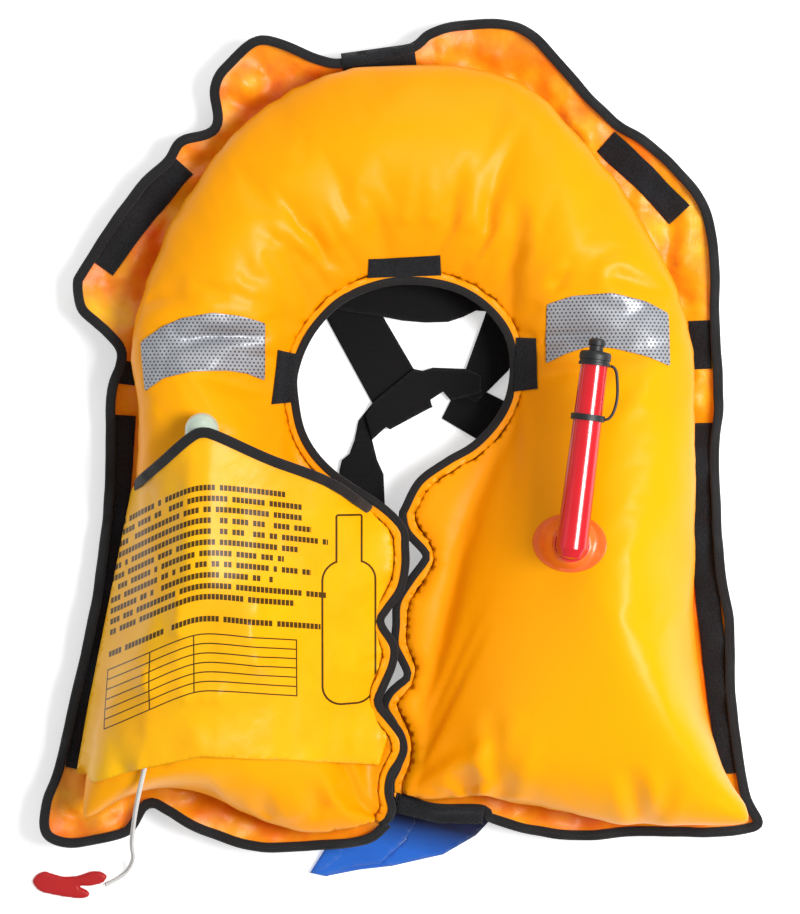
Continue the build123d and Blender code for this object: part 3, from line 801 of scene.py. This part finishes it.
for node, corners in NECK_TABS.items():
    tab = laid("hook_" + node, cut_out(corners, 3 * MM), 3 * MM,
               lambda x, y: height_on(neck_level, x, y, 44 * MM) + 1.3 * MM, 1.2 * MM, hook_finish)
    stands_for(tab, node)

# ---- The reflective tapes: silver glass-bead sheet printed with small hexagons, with a plain
# welded border, stitched flat on the bladder's shoulders. The left one is creased at its outer end.
tape_finish = Finish("silver_reflective_sheet", Roughness=0.4, Metallic=0.25)
tape_x, tape_y, _ = tape_finish.parts()
dot_pitch = 3.1 * MM
row_share = 0.866
dot_rows = tape_y / (dot_pitch * row_share)
odd_row = ((dot_rows % 2) > 1) * 0.5
dot_across = ((tape_x / dot_pitch + odd_row) % 1) - 0.5
dot_up = ((dot_rows % 1) - 0.5) * row_share
dots = (dot_across * dot_across + dot_up * dot_up) < 0.06
silver = tape_finish.blend(tape_finish.noise(30, 3), shade(130, 133, 140), shade(184, 186, 190))
tape_finish.feed("Base Color", tape_finish.blend(dots, silver, shade(72, 75, 82)))
tape_finish.feed("Roughness", tape_finish.noise(40) * 0.25 + 0.3)
tape_finish.bump(tape_finish.noise(45, 3) * 2 - dots * 0.4, 0.5 * MM, 0.7)
TAPES = {
    "reflective_tape_left": ([(-196, 81), (-180, 92), (-164, 99), (-140, 103), (-120, 101), (-101, 96),
                              (-102, 52), (-115, 57), (-129, 59), (-155, 58), (-177, 53), (-192, 43)], 5.0),
    "reflective_tape_right": ([(114, 110), (133, 116), (163, 118), (189, 112), (207, 103), (207, 62),
                               (189, 69.5), (163, 76), (144, 77), (128, 72), (114, 65)], 0.8),
}
for node, (corners, crease) in TAPES.items():
    far_x = min(x for x, _ in corners) * MM

    def tape_height(x, y):
        creased = crease * MM * max(0.15, 1 - (x - far_x) / (50 * MM)) if crease > 1 else crease * MM
        return height_on(bladder_top, x, y) + 0.9 * MM + creased * uneven(x, y, 70, 55, 1.7)

    tape = laid("sheet_" + node, cut_out(corners, 3 * MM), 3 * MM, tape_height, 0.6 * MM, tape_finish)
    smoothed(tape)
    stands_for(tape, node)

# ---- The mouth tube: a red moulded elbow and tube on a disc welded to the bladder. A spring valve
# sits in its end under a black rubber dust cap, which hangs on a strap from a ring on the tube.


def dress(finish, *nodes):
    """Gives carried-over parts their finish."""
    for node in nodes:
        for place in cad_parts[node].material_slots:
            place.material = finish.material


def moulded(name, colour, roughness, speckle=0.06, coat=0.0, metallic=0.0, grain=0.25 * MM):
    """Moulded or cast stuff: fine grain, slight colour drift and uneven gloss."""
    finish = Finish(name, Coat_Weight=coat, Metallic=metallic)
    deep = (*[c * 0.72 for c in colour[:3]], 1)
    finish.feed("Base Color", finish.blend(finish.noise(45, 4) * 0.9, colour, deep))
    finish.feed("Roughness", finish.noise(70, 3) * speckle * 2 + (roughness - speckle))
    finish.bump(finish.noise(420, 2) + finish.noise(30, 2) * 2, grain, 0.35)
    return finish


red_plastic = moulded("red_tube_plastic", shade(214, 8, 28), 0.2, coat=0.5, grain=0.12 * MM)
black_rubber = moulded("black_rubber", shade(20, 22, 24), 0.5)
white_plastic = moulded("white_valve_plastic", shade(214, 214, 208), 0.35)
spring_steel = moulded("spring_steel", shade(150, 152, 156), 0.28, metallic=1.0)
dress(red_plastic, "oral_tube")
dress(black_rubber, "dust_cap", "tether_clip_ring", "manifold_gasket")
dress(white_plastic, "oral_valve_poppet")
dress(spring_steel, "piercing_pin", "lever_pivot_pin", "firing_lever")


def return_spring(node, axis, travel):
    """A copy of the coil spring in spring steel that takes the node's place; it keeps its full length, and
    the joint's travel does not change it.
    """
    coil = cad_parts[node]
    points = [coil.matrix_world @ v.co for v in coil.data.vertices]
    faces = [tuple(face.vertices) for face in coil.data.polygons]
    spring = sheet_mesh("coil_" + node, points, faces, [spring_steel])
    along = [p.dot(axis) for p in points]
    length = max(along) - min(along)
    stands_for(spring, node)
    1 - travel / length
    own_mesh(spring)


tube_axis = Vector((0.1236, 0.9923, 0))
return_spring("oral_valve_spring", tube_axis, 3 * MM)
return_spring("pin_spring", Vector((0, 1, 0)), 6 * MM)

disc_finish = Finish("orange_weld_disc", Roughness=0.3, Coat_Weight=0.2)
disc_finish.feed("Base Color", disc_finish.blend(
    disc_finish.noise(60), shade(250, 122, 40), shade(242, 96, 26)))
disc_finish.bump(disc_finish.noise(1100, 2), 0.2 * MM, 0.4)
disc_low, disc_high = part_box("oral_tube_patch")
disc_middle = (disc_low + disc_high) / 2
disc_wide, disc_long = (disc_high.x - disc_low.x) / 2, (disc_high.y - disc_low.y) / 2
boss_reach, boss_blend = 15 * MM, 5 * MM


def disc_height(x, y):
    reach = math.hypot(x - disc_middle.x, y - disc_middle.y)
    collar = max(0, min(1, (boss_reach + boss_blend - reach) / boss_blend))
    return (height_on(bladder_top, x, y) + 0.7 * MM) * (1 - collar) + disc_high.z * collar


disc_loop = [Vector((disc_middle.x + x, disc_middle.y + y, 0)) for x, y in ring(disc_wide, disc_long, 60)]
disc = laid("tube_weld_disc", disc_loop, 2.6 * MM, disc_height, 0.7 * MM, disc_finish)
smoothed(disc)
stands_for(disc, "oral_tube_patch")

tube_side = Vector((0.9923, -0.1236, 0))
tube_foot = Vector((disc_middle.x, disc_middle.y, 137 * MM))
ring_place, cap_place = 94, 134
STRAP_ROUTE = [(12.4, ring_place), (15.5, 95.5), (18.2, 100), (19.6, 108), (19.4, 116), (18.2, 124),
               (16.8, 130), (14.6, 133.2), (12.2, cap_place)]
strap_line = [tube_foot + tube_side * (out * MM) + tube_axis * (up * MM) for out, up in STRAP_ROUTE]
strap_line = flowing([tuple(v / MM for v in p) for p in strap_line], 1 * MM)
half_thick, half_wide = 1.0 * MM, 2.2 * MM
strap_profile = [(half_thick * a, half_wide * u) for a, u in (
    (1, -0.8), (1, 0.8), (0.6, 1), (-0.6, 1), (-1, 0.8), (-1, -0.8), (-0.6, -1), (0.6, -1))]
tether = sweep("cap_tether_strap", strap_line, [Vector((0, 0, 1))] * len(strap_line), strap_profile,
               black_rubber)
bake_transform(tether)
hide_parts("cap_tether")

# ---- The gas inflator: a black nylon body held on a brass stem by a nut, a steel firing lever and
# pin, a green clip that shows it is armed, and a painted steel gas cylinder screwed into its end.
black_plastic = moulded("black_nylon_plastic", shade(18, 18, 20), 0.42)
brass = moulded("turned_brass", shade(196, 158, 88), 0.3, metallic=1.0)
green_plastic = moulded("green_clip_plastic", shade(22, 150, 60), 0.35)
patch_film = moulded("stem_patch_film", shade(236, 120, 10), 0.4)
painted_steel = moulded("pale_painted_steel", shade(196, 212, 192), 0.26, speckle=0.04, coat=0.4,
                        grain=0.1 * MM)
dress(black_plastic, "inflator_body", "oral_valve_seat", "buckle_socket", "buckle_plug", "belt_adjuster")
dress(brass, "manifold_stem", "inflator_nut", "cord_sleeve")
dress(green_plastic, "status_clip")
dress(patch_film, "manifold_patch")
dress(painted_steel, "co2_cylinder")

# ---- The flap: thin yellow film sewn down both sides over the inflator, so the gas cylinder lifts
# it into a ridge. Black tape binds its top edge, and use marks are printed on it in black.
FLAP_TOP = [(-9, -54), (-48, -25), (-95, -6), (-132, 11), (-145, 14), (-156, 9), (-178, -9), (-206, -30)]
FLAP_EDGE = [
    (-206, -30), (-221, -105), (-239, -195), (-249, -252), (-230, -253), (-193, -240), (-146, -230),
    (-78, -236), (-14, -246), (-8, -225), (-14, -200), (-19, -190), (-14, -170), (-8, -160), (-12, -135),
    (-8, -120), (-4, -100), (-3, -78), (-9, -54),
]
flap_finish = Finish("yellow_flap_film", Specular_IOR_Level=0.22)
flap_step = 4.5 * MM
top_line = flowing(FLAP_TOP, flap_step)
flap_loop = top_line[:-1] + cut_out(FLAP_EDGE, flap_step)[:-2]
flap_plan, flap_faces = filled(flap_loop, flap_step, seed=8)
inflator_parts = ("co2_cylinder", "inflator_body", "inflator_nut", "status_clip", "firing_lever",
                  "cord_sleeve")
inflator_tree = surfaces(*[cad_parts[node] for node in inflator_parts], pull_cord)
around = [(dx * MM, dy * MM) for dx in (-4, 0, 4) for dy in (-4, 0, 4)]
flap_xy = np.array([(p.x, p.y) for p in flap_plan])
resting = np.array([max(height_on(bladder_top, x, y, 40 * MM) + 1.6 * MM,
                        max(height_on(inflator_tree, x + dx, y + dy) for dx, dy in around) + 1.8 * MM)
                    for x, y in flap_xy])
flap_ends = np.array([(a, b) for face in flap_faces for a, b in zip(face, face[1:] + face[:1])])
flap_ends = np.concatenate([flap_ends, flap_ends[:, ::-1]])
neighbours = np.bincount(flap_ends[:, 0], minlength=len(flap_xy))
sewn_left, sewn_right = -200 * MM, -20 * MM
sewn = np.array([i < len(flap_loop) and (x < sewn_left or x > sewn_right)
                 for i, (x, y) in enumerate(flap_xy)])
flap_level = resting.copy()
for _ in range(900):
    sums = np.bincount(flap_ends[:, 0], weights=flap_level[flap_ends[:, 1]], minlength=len(flap_xy))
    flap_level = np.where(sewn, resting, np.maximum(resting, sums / neighbours))
for i, (x, y) in enumerate(flap_xy):
    lower_half = max(0, min(1, (-170 * MM - y) / (50 * MM)))
    crease = uneven(x, y, 34, 16, 2.2) * 5 + noise.noise(Vector((x * 90, y * 60, 5.1))) * 0.9
    flap_level[i] += crease * MM * (0.25 + 0.75 * lower_half)
flap_points = [(x, y, z) for (x, y), z in zip(flap_xy, flap_level)]
flap = sheet_mesh("inflator_flap_film", flap_points, flap_faces, [flap_finish])
smoothed(flap)
flap.modifiers.new("film", "SOLIDIFY").thickness = 0.6 * MM
keep_applied(flap)

print_x, print_y, _ = flap_finish.parts()
ridge_x = -148 * MM
ridge_round, row_bow, row_slope, row_drop = 14 * MM, 0.31, 0.17, 3 * MM
from_ridge = print_x - ridge_x
rounded = (from_ridge * from_ridge + ridge_round ** 2) ** 0.5
print_v = print_y + rounded * row_bow - from_ridge * row_slope - row_drop


def within(value, low, high):
    return (value > low) * (value < high)


row_pitch, mark_pitch = 8.1 * MM, 3.0 * MM
row_part = (print_v % row_pitch) / row_pitch
mark_part = (print_x % mark_pitch) / mark_pitch
row_number, mark_number = (print_v / row_pitch).whole(), (print_x / mark_pitch).whole()
chance = flap_finish.node("TexWhiteNoise", {"noise_dimensions": "2D"}, output=0, inputs={
    "Vector": flap_finish.node("CombineXYZ", inputs={0: mark_number, 1: row_number})})
row_chance = flap_finish.node("TexWhiteNoise", {"noise_dimensions": "1D"}, output=0, inputs={"W": row_number})
marks = within(row_part, 0.22, 0.74) * within(mark_part, 0.06, 0.9) * (chance > 0.13)
block_low, block_high, block_left = -133.5 * MM, -23 * MM, -222 * MM
block_right, end_change = -98 * MM, 50 * MM
in_row = (print_x > block_left) * (print_x < row_chance * end_change + block_right) * (row_chance > 0.12)
marks = marks * within(print_v, block_low, block_high) * in_row

table_left, table_right, table_top, row_high, table_rows = -222 * MM, -76 * MM, -137 * MM, 7.1 * MM, 6
line_half = 0.5 * MM
table_v = print_v - (table_top - row_high * table_rows)
in_table = within(print_x, table_left - line_half, table_right + line_half) * within(
    table_v, -line_half, row_high * table_rows + line_half)
table_lines = (abs((table_v + row_high / 2) % row_high - row_high / 2) < line_half)
for column in (table_left, -185 * MM, -151 * MM, table_right):
    table_lines = table_lines.most(abs(print_x - column) < line_half)
table_marks = in_table * table_lines

bottle_x, bottle_foot, bottle_shoulder, bottle_top = -37 * MM, -196 * MM, -86 * MM, -51 * MM
bottle_half, neck_half, bottle_round, neck_round, neck_sunk = 20 * MM, 9.5 * MM, 15 * MM, 1.5 * MM, 20 * MM


def box_distance(low_y, high_y, half_width, corner):
    """The distance from a rounded box upright round the bottle's middle line."""
    dx = (abs(print_x - bottle_x) - (half_width - corner)).most(0.0)
    dy = (abs(print_y - (low_y + high_y) / 2) - ((high_y - low_y) / 2 - corner)).most(0.0)
    return (dx * dx + dy * dy) ** 0.5 - corner


outline = box_distance(bottle_foot, bottle_shoulder, bottle_half, bottle_round).least(
    box_distance(bottle_shoulder - neck_sunk, bottle_top, neck_half, neck_round))
bottle_marks = abs(outline) < 0.8 * MM
print_mask = marks.most(table_marks).most(bottle_marks)
flap_colour = flap_finish.blend(flap_finish.noise(22, 3), shade(246, 190, 8), shade(238, 160, 4))
flap_finish.feed("Base Color", flap_finish.blend(print_mask * 0.93, flap_colour, shade(24, 18, 12)))
flap_finish.feed("Roughness", flap_finish.noise(30, 3) * 0.2 + 0.27)
flap_finish.bump(flap_finish.noise(24, 4, 0.6) + flap_finish.noise(900, 2) * 0.05, 1.8 * MM, 0.5)
stands_for(flap, "inflator_flap")

top_edge = [Vector((p.x, p.y, flap_level[i] + 0.2 * MM)) for i, p in enumerate(top_line[:-1])]
top_edge = flowing([tuple(v / MM for v in p) for p in top_edge], 2 * MM)
flap_binding = sweep("flap_top_tape", top_edge, [Vector((0, 0.1, 1))] * len(top_edge),
                     [(-a, u) for a, u in fold_profile][::-1], binding_finish)
stands_for(flap_binding, "flap_top_binding")

# ---- The pull handle: one red moulded plate with a round head and two prongs. The cord's end is
# tied to it, and it lies flat on the surface where the cord leaves it.
HANDLE_EDGE = [
    (-289, -343), (-286, -337), (-279, -334), (-272, -336), (-263, -338), (-252, -337), (-243, -334),
    (-235, -334), (-230, -337), (-230, -340), (-234, -344), (-243, -346), (-251, -346), (-245, -349),
    (-243, -352), (-245, -355), (-251, -356), (-262, -355), (-273, -353), (-283, -350),
]
handle_loop = flowing(HANDLE_EDGE, 1.2 * MM, closed=True)[:-1]
handle_plan, handle_faces = filled(handle_loop, 1.6 * MM, seed=4)
handle_rim = np.array([tuple(p)[:2] for p in handle_loop])
handle_points = []
for side in (1, -1):
    for x, y in handle_plan:
        inward = min(1, np.hypot(*(handle_rim - (x, y)).T).min() / (3.2 * MM))
        swell = 2.1 * MM * math.sqrt(1 - (1 - inward) ** 2)
        handle_points.append((x, y, 2.4 * MM + side * swell))
handle_shell = handle_faces + turned_over(handle_faces, len(handle_plan))
handle = sheet_mesh("red_pull_handle", handle_points, handle_shell, [
    moulded("red_handle_plastic", shade(196, 14, 18), 0.5, grain=0.5 * MM)])
join = handle.modifiers.new("join", "WELD")
join.merge_threshold = 0.1 * MM
smoothed(handle)
stands_for(handle, "pull_handle", "pull_line")

# ---- The harness: black polyester webbing under the jacket. Two shoulder straps and a yoke are
# sewn to a keeper in the neck opening, and a twisted back strap goes down to the waist belt.
web_finish = Finish("black_webbing", Roughness=0.75, Specular_IOR_Level=0.25, Sheen_Weight=0.08)
blue_finish = Finish("blue_webbing", Roughness=0.6, Specular_IOR_Level=0.35, Sheen_Weight=0.2)


def webbed(finish, colour, dark):
    """Herringbone webbing: slanting ribs that turn every few threads, and a little wear."""
    x, y, _ = finish.parts()
    turn = abs((y % (5.6 * MM)) - 2.8 * MM)
    rib = ((x + turn) * (math.tau / (1.5 * MM))).sine()
    thread = (y * (math.tau / (0.7 * MM))).sine()
    finish.feed("Base Color", finish.blend(rib * 0.35 + 0.35 + finish.noise(28) * 0.4, dark, colour))
    finish.bump(rib + thread * 0.4, 0.35 * MM, 0.7)


webbed(web_finish, shade(15, 13, 14), shade(4, 3, 4))
tail_x, tail_y, _ = blue_finish.parts()
# Painted shadow of the jacket: the tail's blue turns to navy towards the jacket's edge and to its right.
jacket_shadow_on_tail = blue_finish.rise(tail_y + tail_x * 0.25, -316 * MM, -290 * MM)
webbed(blue_finish, blue_finish.blend(jacket_shadow_on_tail, shade(40, 135, 245), shade(8, 26, 84)),
       blue_finish.blend(jacket_shadow_on_tail, shade(10, 66, 190), shade(4, 12, 40)))
STRAPS = {
    "shoulder_strap_left": ([(-109, 203), (-53, 97), (-20, 36), (-6, 18), (28, 33), (13, 63), (-11, 104),
                            (-67, 210)], 2.2, 2.2),
    "shoulder_strap_right": ([(142, 214), (100, 216), (84, 150), (68, 102), (54, 63), (46, 44), (62, 36),
                              (88, 62), (100, 98), (118, 140)], 4.3, 2.0),
    "back_yoke": ([(-75, 190), (-62, 112), (-11, 104), (4, 101), (22, 99.5), (40, 100), (52, 104),
                   (62, 109), (74, 108), (88, 190)], 6.4, 1.8),
    "strap_keeper": ([(13, 63), (20, 61.5), (28, 64), (54, 63), (66, 58), (66, 44), (42, 38), (36, 45),
                      (26, 38.5), (27.5, 33), (-6, 15), (-9, 17), (-20, 7), (-25, 26),
                      (-20, 36)], 6.4, 1.8),
    "side_strap_right": ([(35, 24), (61, 8.5), (112, -22), (150, -76), (164, -64), (124, 4), (92, 34),
                          (60, 50), (42, 38)], 2.2, 2.0),
    "back_strap": ([(-20, 36), (-31, 22), (-34, 7), (-38, -4), (-44, -9), (-46, -17), (-48, -60),
                    (-52, -120), (-51, -230), (-25, -230), (-24, -120), (-15, -70), (-10, -43),
                    (-11, -20), (-16, -9), (-20, 7), (-10, 18)], 2.2, 2.0),
}
for node, (corners, top, thick) in STRAPS.items():
    twist = 3.2 * MM if node == "back_strap" else 0.35 * MM

    def strap_height(x, y):
        lift = uneven(x, y, 30, 22, top) * 2
        return top * MM + twist * lift * (1 if -100 * MM < y < 20 * MM or node != "back_strap" else 0.1)

    strap = laid("webbing_" + node, cut_out(corners, 4 * MM), 4 * MM, strap_height, thick * MM, web_finish)
    stands_for(strap, node)

# ---- The waist belt: black webbing through two loops and an adjuster to a side-release buckle, all
# under the jacket. Its loose end is blue webbing, folded on itself below the front opening.
for node, body in (("waist_belt_left", "jacket"), ("waist_belt_right", "buckle_plug_body")):
    low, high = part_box(node)
    ends = [Vector((x, (low.y + high.y) / 2, (low.z + high.z) / 2)) for x in (low.x, high.x)]
    line = step_evenly(ends, 4 * MM)
    half, thick = (high.y - low.y) / 2, (high.z - low.z) / 2
    edge = [(-half, -thick * 0.5), (-half + thick, -thick), (half - thick, -thick), (half, -thick * 0.5),
            (half, thick * 0.5), (half - thick, thick), (-half + thick, thick), (-half, thick * 0.5)]
    belt = sweep("webbing_" + node, line, [Vector((0, 0, 1))] * len(line), edge, web_finish)
    stands_for(belt, node, body)
for node in ("belt_loop_left", "belt_loop_right"):
    low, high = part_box(node)
    middle = (low + high) / 2
    half, tall = (high.y - low.y) / 2, (high.z - low.z) / 2
    corners = [(-half, 0), (-half + 1 * MM, tall - 1 * MM), (-half + 4 * MM, tall), (half - 4 * MM, tall),
            (half - 1 * MM, tall - 1 * MM), (half, 0), (half - 1 * MM, 1 * MM - tall), (half - 4 * MM, -tall),
            (4 * MM - half, -tall), (1 * MM - half, 1 * MM - tall)]
    points, faces = [], []
    count = len(corners)
    wall = 1.3 * MM
    for x in (low.x, high.x):
        for inner in (0, 1):
            shrink_y, shrink_z = 1 - inner * wall / half, 1 - inner * wall / tall
            points += [(x, middle.y + a * shrink_y, middle.z + u * shrink_z) for a, u in corners]
    for k in range(count):
        m = (k + 1) % count
        faces += [(k, m, 2 * count + m, 2 * count + k), (count + m, count + k, 3 * count + k, 3 * count + m),
                  (m, k, count + k, count + m), (2 * count + k, 2 * count + m, 3 * count + m, 3 * count + k)]
    loop = sheet_mesh("webbing_" + node, points, faces, [web_finish])
    stands_for(loop, node)
TAIL_LAYERS = {
    "under": ([(-56, -338), (-30, -333), (-4, -330), (36, -321), (62, -306), (75, -292), (68, -272),
               (32, -272), (4, -276), (6, -300), (7, -309), (-14, -328), (-44, -330)], 2.0, 2.0),
    "over": ([(-69, -335), (-56, -338), (-38, -331), (-14, -328), (6, -309), (14, -296), (12, -276),
              (-30, -278), (-44, -300), (-50, -305)], 4.0, 1.8),
    "corner": ([(-69, -335), (-50, -305), (-42, -312), (-45, -322), (-57, -332)], 5.0, 0.9),
}
for part, (corners, top, thick) in TAIL_LAYERS.items():
    tail = laid("webbing_belt_tail_" + part, cut_out(corners, 3.5 * MM), 3.5 * MM,
                lambda x, y: (top + 0.8 * uneven(x, y, 40, 40, top)) * MM, thick * MM, blue_finish)
    stands_for(tail, "belt_tail")
